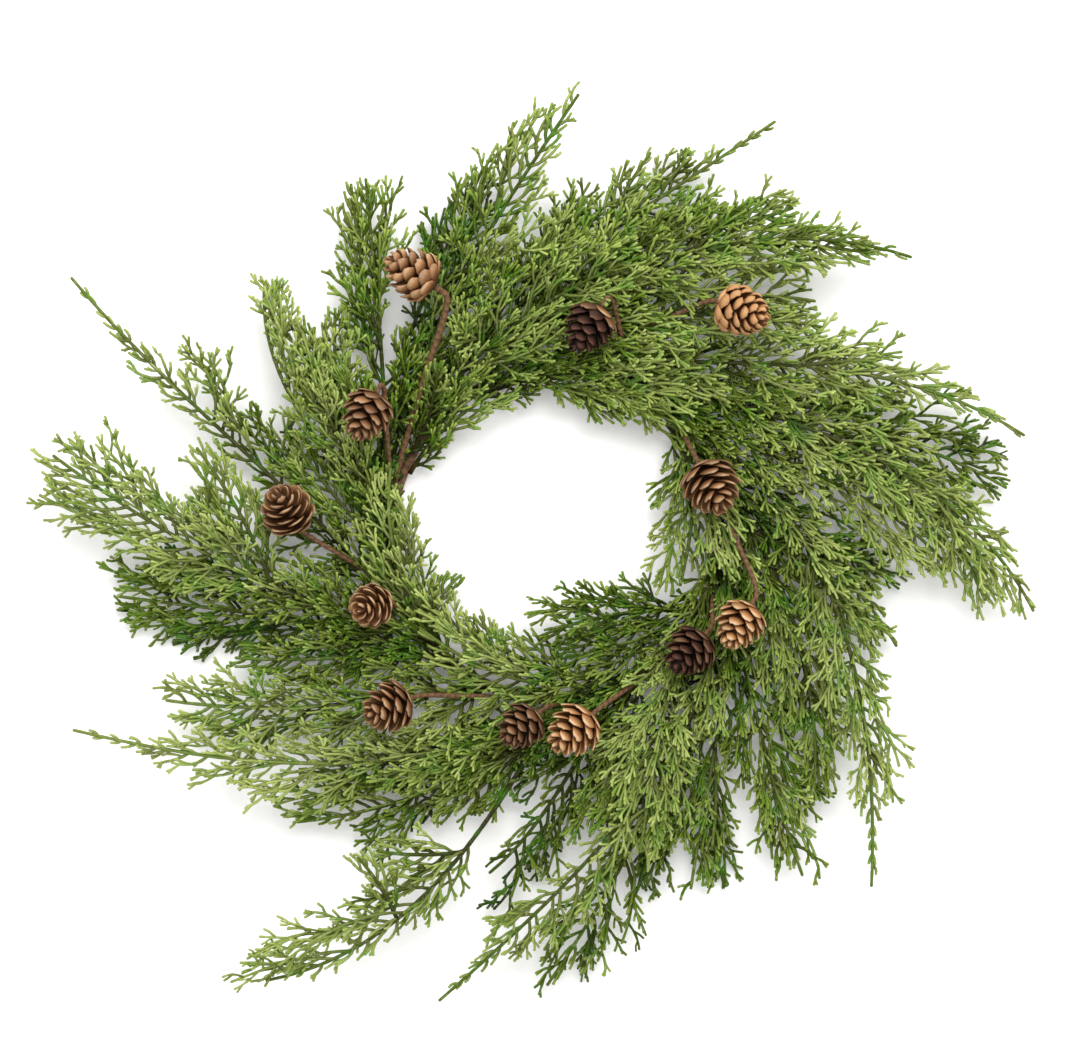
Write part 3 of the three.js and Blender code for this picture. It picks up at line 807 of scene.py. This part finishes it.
def buds_of(number, line, branches, fullness, breadth):
    """Every bud on the stem, and each fork as its start, its tip and how far it bows."""
    gaps = OPEN_SIDES.get(number, [])
    buds, forks = side_branches(line, branches, BRANCH_PITCH / fullness, breadth, gaps)
    buds.append(crown_branches(line, CROWN_PITCH / fullness, gaps))
    for share, distance, angle, height, bow in EXTRA_FRONDS.get(number, []):
        turn = math.radians(angle)
        tip = HOOP_MIDDLE * [1, 1, 0] + [distance * MM * math.cos(turn),
                                         distance * MM * math.sin(turn), height * MM]
        forks.append((along(line, share * travelled(line)[-1]), tip, bow))
    if number not in BARE_HOOP:
        buds.append(cover_branches(line[0]))
    return buds, forks


def put_stems(clay, number, light, line, forks, pitch):
    """Puts in the stem and the forks, and gives the buds on the forks."""
    whole = np.array([light])
    root = GREEN_ROOT if number in PALE_STEMS else BROWN_ROOT
    put_shoots(clay, STEM, line[None], UP, ages(root, STEM_END, len(line)), whole)
    buds = []
    for fork in forks:
        own_line, own_buds = fork_branches(*fork, pitch)
        buds.append(own_buds)
        put_shoots(clay, FORK, off_table(own_line[None]), UP,
                   ages(FORK_ROOT, STEM_END, FORK_RINGS), whole)
    return buds


print(len(PALE_STEMS), "stems are green from the root")

# %% Side branches, bent and cut
TIP_STARTS, BARE_BLEND = 0.8, 0.12
STUBBY, SHORTEST = 3.6 * MM, 2.5 * MM


def bent_branches(buds, tip, bare_from):
    """Curved branches, cut short of the cones, with their tops, lengths and shares of the stem."""
    place, way, length, hand, share, ahead = buds
    length = length * np.interp(share, [TIP_STARTS, 1], [1, tip])
    if bare_from < 1:
        bare = np.interp(share, [bare_from - BARE_BLEND, bare_from, 1], [1, 0.5, 0.3])
        length = np.maximum(length * bare, STUBBY)
    aside = unit(way - ahead * (way * ahead).sum(axis=1, keepdims=True))
    top = unit(np.cross(ahead, way) * hand[:, None])
    top = unit(top * np.sign(top[:, 2:]) + [0, 0, 0.6])
    sway = chance.normal(0, 0.10, (len(length), 1))
    bend = (way * 0.44 + aside * (0.10 + sway)) * length[:, None]
    sweep = 0.26 + 0.34 * share[:, None]
    end = (way * (1.06 - sweep * 0.45) + ahead * sweep - aside * 0.10) * length[:, None]
    stop = blocked(bows(place, place + bend, place + end, BRANCH_RINGS))
    free = np.where(stop.any(axis=1), stop.argmax(axis=1), BRANCH_RINGS) / (BRANCH_RINGS - 1)
    keep = (free > 0.3) & (length > SHORTEST)
    cut = np.minimum(free * 0.9, 1.0)[keep, None]
    place = place[keep]
    limbs = bows(place, place + bend[keep] * cut, place + end[keep] * cut, BRANCH_RINGS)
    return off_table(limbs), top[keep], length[keep] * cut[:, 0], share[keep]


print("shortest branch:", SHORTEST / MM, "mm")

# %% [markdown]
# ## Branchlets and stubs
# Branchlets stand left and right in turn along each branch, longest near its middle, so that it
# looks like a small frond too. Stubs stand on them in the same way, so one function serves both,
# with a rule for each. Copies of one branchlet would be cheaper, but would show as a pattern.

# %% Shoots on shoots
# Where on its parent the first shoot is; its share of the parent's length, from short to long;
# how that changes along the parent, as a curve; the least size; how uneven sizes and angles are;
# and how far a shoot sweeps forward.
Rule = namedtuple("Rule", "start share short long fan least uneven veer curl rings")
TWIGS = Rule(0.16, 0.56, 4.8 * MM, 14 * MM, (0.55, 1.7, -1.75), 2.4 * MM, 0.26, 0.26, 0.3,
             TWIG_RINGS)
STUBS = Rule(0.28, 0.45, 2.0 * MM, 5.5 * MM, (1.2, -0.55, 0.0), 0.0, 0.18, 0.3, 0.2, STUB_RINGS)
LAST_SHOOT, SHOOT_ANGLE = 0.98, math.radians(31)


def places_along(parents, lengths, pitch, start):
    """Places on the parents: which parent, how far, left or right, the place, and ahead."""
    pitch = np.broadcast_to(pitch, lengths.shape)
    counts = ((LAST_SHOOT - start) * lengths / pitch).astype(int)
    owner = np.repeat(np.arange(len(parents)), counts)
    order = np.arange(len(owner)) - np.repeat(np.cumsum(counts) - counts, counts)
    far = start + (order + chance.uniform(0.1, 0.9, len(owner))) * (pitch / lengths)[owner]
    hand = np.where((order + owner) % 2, 1.0, -1.0)
    rings = parents.shape[1] - 1
    ring = np.minimum((far * rings).astype(int), rings - 1)
    share = (far * rings - ring)[:, None]
    below, above = parents[owner, ring], parents[owner, ring + 1]
    return owner, far, hand, below * (1 - share) + above * share, unit(above - below)


def shoots_on(rule, parents, tops, lengths, pitch):
    """Curved shoots, their tops and sizes, the parent of each and how far along that it is."""
    owner, far, hand, place, ahead = places_along(parents, lengths, pitch, rule.start)
    top, count = tops[owner], (len(owner), 1)
    aside = np.cross(top, ahead)
    size = np.clip(lengths[owner] * rule.share, rule.short, rule.long) * (
        rule.fan[0] + rule.fan[1] * far + rule.fan[2] * far**2)
    size = np.maximum(size * chance.normal(1, rule.uneven, len(size)), rule.least)
    turn = SHOOT_ANGLE * chance.normal(1, rule.veer, len(size)) * hand
    way = unit(turned(ahead, aside, turn) + top * chance.normal(0.05, 0.2, count))
    end = place + unit(way + ahead * rule.curl) * size[:, None]
    sway = aside * chance.normal(0, 0.10, count)
    shoots = bows(place, place + (way * 0.5 + sway) * size[:, None], end, rule.rings)
    tilt = unit(top + aside * chance.normal(0, 0.25, count))
    keep = ~blocked(shoots).any(axis=1)
    return off_table(shoots[keep]), tilt[keep], size[keep], owner[keep], far[keep]


print("shoots leave at", round(math.degrees(SHOOT_ANGLE)), "degrees or so")

# %% [markdown]
# ## Growing the sprays
# A spray grows from its stem out. It becomes one piece, because an object for each twig would
# be slow. A branch is lighter the nearer it is to the tip, and lighter the higher it lies: painted
# light on high branches and painted shade on low ones.

# %% One spray
TWIG_PITCH, STUB_PITCH = 3.1 * MM, 3.3 * MM
# Branches above this height get painted light and those below it painted shade, growing over the
# second height.
PAINTED_LIGHT_HEIGHT, PAINTED_LIGHT_FADE = 14 * MM, 20 * MM


def grow(node, light, fullness=1.06, bare_from=1, breadth=1):
    """Builds the spray that stands for this solid."""
    rough, branches = stems[node]
    number = int(node[-2:])
    line = off_table(smooth(rough, STEM_CUTS))
    clay = Clay()
    buds, forks = buds_of(number, line, branches, fullness, breadth)
    buds += put_stems(clay, number, light, line, forks, BRANCH_PITCH / fullness)
    buds = Buds(*(np.concatenate(part) for part in zip(*buds)))
    tip = BROAD_TIPS.get(number, PLAIN_TIP)
    limbs, top, length, share = bent_branches(buds, tip, bare_from)
    height = limbs[:, BRANCH_RINGS // 2, 2]
    # Painted light and shade: by its height, a high branch is made lighter and a low one darker.
    tone = light + 0.12 * (share - 0.4) + chance.normal(0, 0.15, len(limbs)) + np.clip(
        (height - PAINTED_LIGHT_HEIGHT) / PAINTED_LIGHT_FADE, -0.4, 0.3)
    youth = ages(0.18 + 0.22 * share, 0.82, BRANCH_RINGS)
    put_shoots(clay, BRANCH, limbs, top, youth, tone)

    pitch = TWIG_PITCH * (1 + 0.4 * share) * chance.uniform(0.8, 1.3, len(limbs))
    twigs, top, size, owner, far = shoots_on(TWIGS, limbs, top, length, pitch)
    tone = tone[owner] + chance.normal(0, 0.08, len(owner))
    worn = chance.uniform(0, 0.22, len(owner))
    youth = ages(youth[owner, 0] + 0.1 + 0.3 * far - worn, 0.97 - worn, TWIG_RINGS)
    put_shoots(clay, TWIG, twigs, top, youth, tone)

    stubs, top, _, owner, _ = shoots_on(STUBS, twigs, top, size, STUB_PITCH)
    youth = ages(0.68 - worn[owner], 1 - worn[owner], STUB_RINGS)
    put_shoots(clay, STUB, stubs, top, youth, tone[owner])
    made = clay.fire(node + "_foliage", cedar.material, node)
    return made, len(limbs), len(twigs), len(stubs)


print("a branchlet every", TWIG_PITCH / MM, "mm, a stub every", STUB_PITCH / MM)

# %% All the sprays
# How light each spray is, and where it is not as usual, how full, where its bare tip starts and
# how broad it is.
SPRAY_LOOKS = {
    1: (0.8, 0.93, 0.9), 2: (0.75, 1.08), 3: (0.65, 0.95, 0.78), 4: (0.62,), 5: (0.6,),
    6: (0.6, 1.17), 7: (0.5,), 8: (0.47, 0.9), 9: (0.38,), 10: (0.35,), 11: (0.4, 1.17),
    12: (0.6, 1.06, 0.8), 13: (0.4, 1.17), 14: (0.6, 0.86), 15: (0.68, 1.06, 0.93),
    16: (0.6, 1.1), 17: (0.55, 1.04), 18: (0.62,), 19: (0.63, 1.08), 20: (0.6, 1.01, 0.88),
    21: (0.52,), 22: (0.52,), 23: (0.62, 1.08), 24: (0.5,), 25: (0.5, 0.95, 0.94),
    26: (0.65, 1.17), 27: (0.35, 1.06, 1, 1.2), 28: (0.5, 0.95, 1, 1.15), 29: (0.55,),
    30: (0.7, 1.06, 1, 1.15), 31: (0.75,), 32: (0.6,), 33: (0.5, 1.06, 1, 1.15),
    34: (0.7, 1.06, 1, 1.1), 35: (0.4, 0.95)}
totals = np.zeros(4, int)
for node in stems:
    totals += grow(node, *SPRAY_LOOKS[int(node[-2:])])
print("foliage:", totals[0], "triangles,", totals[1], "side branches,", totals[2], "branchlets,",
      totals[3], "stubs")

# %% [markdown]
# ## Cones
# A larch cone is a stack of woody scales set in spirals, each about 137.5 degrees round from the
# one below. A scale is thin, cupped round the cone, rounded at its lip, and open away from the
# core. Every scale here is its own closed shell, bent from a flat grid, so the gaps are real and
# dark. One lump with a scaly bump would do from far off, but with a smooth outline. A ramp takes
# the wood from dark at a scale's root, painted shade in the gaps, to pale at its lip, partly the
# wood's paler edge and partly painted light: one ramp for dark cones, one for tan.

# %% Cone finish
GRAIN = 0.9 * MM
larch = Finish("larch_cone_scales")
lip = larch.reads("lip")
# Along each ramp, the dark low end is painted shade at the scales' roots and the palest end is
# partly painted light on the lips.
dark_wood = larch.add("ValToRGB", ramp_of(
    (0.0, "#150a05"), (0.6, "#241209"), (0.82, "#33180d"), (0.93, "#4a281a"),
    (1.0, "#7a5240")), {"Fac": lip})
tan_wood = larch.add("ValToRGB", ramp_of(
    (0.0, "#452a14"), (0.5, "#784c27"), (0.72, "#9c6b40"), (0.88, "#b98a5c"),
    (1.0, "#e2c6a0")), {"Fac": lip})
woody = larch.blend(dark_wood, tan_wood, larch.reads("light"))
grain = larch.noise(GRAIN, 4.0)
larch.wear(Base_Color=larch.blend(woody, paint("#432716"), ((grain - 0.49) * 1.3).held()),
           Roughness=0.55 + 0.25 * grain, Specular_IOR_Level=0.3,
           Normal=larch.bump(0.5, 0.25 * MM, grain))
print("cone finish:", len(larch.tree.nodes), "nodes")

# %% Grid of a scale
SCALE_ACROSS, SCALE_ALONG = 7, 7
GRID_SIZE = SCALE_ACROSS * SCALE_ALONG
ACROSS, ALONG = np.meshgrid(np.linspace(-1, 1, SCALE_ACROSS), np.linspace(0, 1, SCALE_ALONG))
at = np.arange(GRID_SIZE).reshape(SCALE_ALONG, SCALE_ACROSS)
outer = np.stack([at[:-1, :-1], at[:-1, 1:], at[1:, 1:], at[1:, :-1]], axis=-1).reshape(-1, 4)
edge = np.concatenate([at[0, :-1], at[:-1, -1], at[-1, :0:-1], at[:0:-1, 0]])
after = np.roll(edge, -1)
rim = np.stack([after, edge, edge + GRID_SIZE, after + GRID_SIZE], axis=-1)
SCALE_FACES = [outer, outer[:, ::-1] + GRID_SIZE, rim]
print("a scale has", 2 * GRID_SIZE, "corners and", sum(map(len, SCALE_FACES)), "faces")

# %% Profile of a scale
# Shares of a cone's height, and its radius there beside its widest.
OUTLINE = (0, 0.12, 0.35, 0.6, 0.8, 0.93, 1.0), (0.62, 0.86, 1.0, 0.9, 0.66, 0.36, 0.05)


def scale_profile(radius, v, lip_at, spread, ragged):
    """Over the grid: how near the lip, how far up the cone and how far from its axis."""
    root_at = max(lip_at - (0.36 - 0.16 * v), 0.02)
    near = ALONG * (1 - (0.24 - 0.06 * spread) * ACROSS**2 - 0.13 * ACROSS**4
                    + ragged * ALONG**2)
    rise = root_at + (lip_at - root_at) * near ** (1.1 + 0.5 * spread)
    core, out = radius * (0.30 - 0.18 * v), radius * np.interp(lip_at, *OUTLINE)
    swell = np.sin(near * math.pi / 2) ** (0.55 + 0.5 * spread)
    reach = core + (out - core) * swell * (1 - 0.05 * (1 - spread) * near**4)
    flare = radius * 0.2 * spread * (1 - 0.6 * v) * near**4
    cup = radius * 0.08 * (1 - spread) * (1 - ACROSS**2) * np.sin(math.pi * near**1.5)
    return near, rise, reach + flare + cup


print("a cone's foot is", OUTLINE[1][0], "of its widest")

# %% Shell of a scale, and the core
USUAL_SCALES = 44
CORE_RINGS, CORE_SIDES, CORE_END = 8, 8, 0.93


def sides_of(axis):
    """Two ways that are square to a cone's axis and to each other."""
    aside = unit(np.cross(axis, [0.3, 0.2, 1.0]))
    return aside, np.cross(axis, aside)


def scale_shell(cone, v, turn, spread, scales, near, rise, reach):
    """The corners of a scale, outer side first: the profile wrapped round the cone's axis."""
    foot, axis, length, radius = cone
    sides = sides_of(axis)
    half_width = radius * (0.38 + 0.06 * spread) * (1.05 - 0.4 * v) * math.sqrt(
        USUAL_SCALES / scales)
    width = half_width * (0.35 + 0.65 * np.sin(np.minimum(ALONG * 1.25, 1) * math.pi / 2))
    angle = turn + ACROSS * width / np.maximum(reach, 0.42 * radius)
    reach = reach - 0.05 * radius * ACROSS**2 * near
    thick = (0.9 - 0.3 * ALONG) * MM * (1 - 0.35 * ACROSS**2)
    corners = []
    for inside in (0, 1):
        r = reach - inside * thick * (0.35 + 0.65 * near)
        h = rise * length + inside * thick * (1 - 0.5 * near)
        corners.append(foot + axis * h[..., None] + r[..., None] * turned(*sides, angle))
    return np.concatenate(corners).reshape(-1, 3)


def cone_core(cone):
    """The stalk in the middle of a cone, which all its scales grow from."""
    foot, axis, length, radius = cone
    spine = np.linspace(0, CORE_END, CORE_RINGS)
    line = foot + axis * (spine * length)[:, None]
    widths = radius * np.interp(spine, [0, 0.1, 0.8, CORE_END], [0.3, 0.36, 0.22, 0.08])
    return tubes(line[None], widths[None], sides_of(axis)[0][None], CORE_SIDES)


print("a core fills", CORE_END, "of a cone's height")

# %% One cone
GOLDEN = math.radians(137.508)
MOST_OPEN = 1.15


def build_cone(number, light_of_cone, openness, scales, pale_foot=0.0):
    """Builds the cone that stands for this solid."""
    cone = cones[number]
    clay = Clay()
    spin = chance.uniform(0, 2 * math.pi)
    for i in range(scales):
        v = (i + 0.5) / scales
        turn = spin + i * GOLDEN + chance.normal(0, 0.05)
        lip_at = 0.13 + 0.87 * v ** 0.92 + chance.normal(0, 0.006)
        spread = float(np.clip(openness + chance.normal(0, 0.1), 0, MOST_OPEN))
        spread = spread * (1 - 0.7 * v**3)
        ragged = chance.normal(0, 0.03, SCALE_ACROSS)
        near, rise, reach = scale_profile(cone[3], v, lip_at, spread, ragged)
        corners = scale_shell(cone, v, turn, spread, scales, near, rise, reach)
        near = near.ravel()
        # The colour value rises from a scale's root to its lip: painted shade at the root, held
        # lighter on closed cones, and partly painted light at the lip. Inner faces rise more
        # gently and stop short of the palest.
        outer = np.clip(near + 0.16 * (1 - spread), 0.7 - 0.7 * openness, 1 - 0.12 * (1 - spread))
        tone = light_of_cone + pale_foot * max(0.0, 1 - 4 * v) + chance.normal(0, 0.1)
        clay.put(corners, SCALE_FACES, lip=np.concatenate([outer, 0.9 * near**0.6]),
                 light=np.full(2 * GRID_SIZE, np.clip(tone, 0, 1)))
    corners, faces = cone_core(cone)
    clay.put(corners, faces, lip=np.full(len(corners), 0.5),
             light=np.full(len(corners), 0.5 * light_of_cone))
    node = f"larch_cone_{number:02}"
    return clay.fire(node + "_scales", larch.material, node)


print(round(math.degrees(GOLDEN), 1), "degrees from scale to scale")

# %% All the cones
# How light each cone is, how far its scales have opened, how many there are, and how much
# paler those at its foot are.
CONE_LOOKS = {
    1: (0.64, 0.45, 46), 2: (0.46, 0.9, 42), 3: (0.5, 1.0, 38), 4: (0.6, 0.9, 34),
    5: (0.53, 1.0, 38), 6: (0.25, 0.9, 38), 7: (1.0, 1.0, 40), 8: (0.04, 0.8, 40),
    9: (1.0, 0.9, 42), 10: (0.52, 1.0, 42), 11: (1.0, 0.0, 48), 12: (-0.12, 0.9, 40, 1.1)}
cone_triangles = sum(build_cone(number, *CONE_LOOKS[number]) for number in cones)
print(len(cones), "cones:", cone_triangles, "triangles")

# %% [markdown]
# ## Taped wire
# The hoop and the cones' picks are wire, wound with brown floral tape. Each turn laps the last,
# so the outline has small steps. A bump would leave it smooth, so the mesh has the steps: each
# ring of the tube swells or shrinks as the tape's edge passes it. The finish is darker on one side
# of a step, and finely crinkled.

# %% Tape finish
CRINKLE = 1.1 * MM
tape = Finish("floral_tape")
crinkle = tape.noise(CRINKLE, 4.0)
browns = tape.add("ValToRGB", ramp_of((0.0, "#24160b"), (0.35, "#4a2f19"), (1.0, "#7d5833")), {
    "Fac": (tape.reads("wrap") * 0.7 + crinkle * 0.5).held()})
tape.wear(Base_Color=browns, Roughness=0.6 + 0.25 * crinkle,
          Normal=tape.bump(0.6, 0.2 * MM, crinkle))
print("tape finish:", len(tape.tree.nodes), "nodes")

# %% Wound tubes, and the hoop
TAPE_PITCH, TAPE_LOW, TAPE_STEP, UNDER_TAPE = 3.4 * MM, 0.94, 0.12, 0.97


def wind(name, node, line, radius, sides, step, closed=False):
    """Builds a tube with a spiral of tape on it along the line, and counts its triangles."""
    total = travelled(line)[-1]
    places = along(line, np.linspace(0, total, int(total / step) + 1))
    if closed:
        places = places[:-1]
        ahead = unit(np.roll(places, -1, axis=0) - np.roll(places, 1, axis=0))
    else:
        ahead = unit(np.gradient(places, axis=0))
    rings = len(places)
    aside = unit(np.cross([0.02, 0.01, 1.0], ahead))
    up = np.cross(ahead, aside)
    turn = np.arange(sides) * 2 * math.pi / sides
    turns = round(total / TAPE_PITCH) if closed else total / TAPE_PITCH
    lap = (np.arange(rings)[:, None] / rings * turns + turn[None] / (2 * math.pi)) % 1.0
    swell = radius * (TAPE_LOW + TAPE_STEP * lap)
    corners = places[:, None] + swell[..., None] * turned(aside[:, None], up[:, None], turn)
    ends = [np.arange(sides)[None, ::-1], (rings - 1) * sides + np.arange(sides)[None]]
    clay = Clay()
    clay.put(corners.reshape(-1, 3), [walls(rings, sides, closed)] + ends * (not closed),
             wrap=lap.ravel())
    return clay.fire(name, tape.material, node)


HOOP_POINTS, HOOP_SIDES, HOOP_STEP = 241, 14, 1.3 * MM
circle = np.linspace(0, 2 * math.pi, HOOP_POINTS)
hoop_line = HOOP_MIDDLE + HOOP_RADIUS * turned(*np.eye(3)[:2], circle)
print("hoop:", wind("taped_hoop", "hoop", hoop_line, HOOP_WIRE * UNDER_TAPE, HOOP_SIDES,
                    HOOP_STEP, closed=True), "triangles")

# %% Picks
PICK_RADIUS, THICK_PICKS = 1.1 * MM, {1: 1.4 * MM}
PICK_CUTS, PICK_SIDES, PICK_STEP = 6, 8, 0.9 * MM
pick_triangles = 0
for number, line in picks.items():
    pick_triangles += wind(f"taped_pick_{number:02}", f"cone_pick_{number:02}",
                           smooth(line, PICK_CUTS), THICK_PICKS.get(number, PICK_RADIUS),
                           PICK_SIDES, PICK_STEP)
print(len(picks), "picks:", pick_triangles, "triangles")
